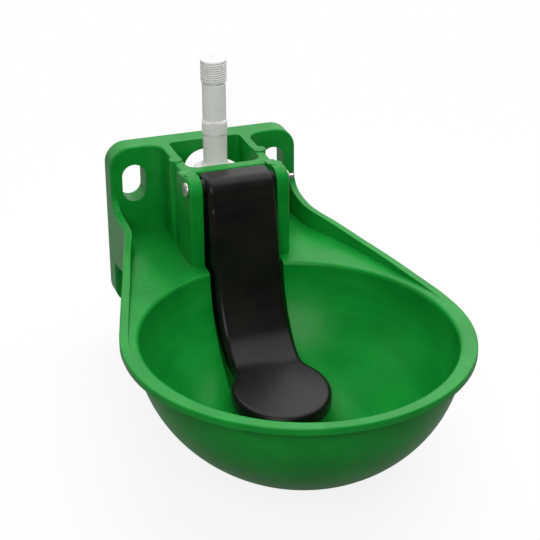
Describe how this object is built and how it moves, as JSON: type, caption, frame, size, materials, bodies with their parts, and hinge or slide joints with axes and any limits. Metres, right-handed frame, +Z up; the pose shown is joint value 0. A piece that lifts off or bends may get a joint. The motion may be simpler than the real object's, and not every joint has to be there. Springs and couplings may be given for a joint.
{
  "type": "livestock drinking bowl",
  "caption": "Wall-mounted push-paddle drinking bowl for farm animals, with slotted backplate, upright threaded water inlet and a plunger valve that the paddle lifts.",
  "frame": {"origin": "on the flat wall face of the backplate, in the plane of symmetry, level with the deck of the bowl", "axes": "+X to the right seen from the front, +Y towards the wall, +Z up along the inlet tube"},
  "size_m": [0.254, 0.379, 0.25],
  "materials": {
    "green_plastic": "moulded satin",
    "black_plastic": "moulded satin",
    "white_plastic": "moulded satin",
    "stainless_steel": "drawn, slightly dull",
    "black_rubber": "matte"
  },
  "bodies": {
    "bowl": {"bowl_body": "green_plastic", "pivot_pin": "stainless_steel", "pin_retainer": "stainless_steel", "inlet_tube": "white_plastic", "inlet_strainer": "white_plastic", "tube_seal_ring": "black_rubber", "valve_body": "white_plastic", "flange_gasket": "black_rubber", "lock_nut": "white_plastic", "outlet_cap": "white_plastic", "valve_seat": "white_plastic", "stem_guide": "white_plastic", "valve_spring": "stainless_steel"},
    "paddle": {"paddle": "black_plastic"},
    "valve_plunger": {"valve_stem": "stainless_steel", "stem_seal": "black_rubber"}
  },
  "joints": [
    {"name": "paddle_hinge", "type": "hinge", "parent": "bowl", "child": "paddle", "pos_m": [0, -0.1066, 0.0618], "axis": [1, 0, 0], "range_deg": [0, 5], "stiffness_Nm_per_rad": 1, "springref_deg": -5.73},
    {"name": "valve_slide", "type": "slide", "parent": "bowl", "child": "valve_plunger", "axis": [0, 0, 1], "range_m": [0, 0.005], "stiffness_N_per_m": 60, "springref_m": -0.01, "deforming": ["valve_spring"]}
  ],
  "couplings": [
    {"joint": "valve_slide", "follows": "paddle_hinge", "m_per_rad": 0.0568}
  ]
}
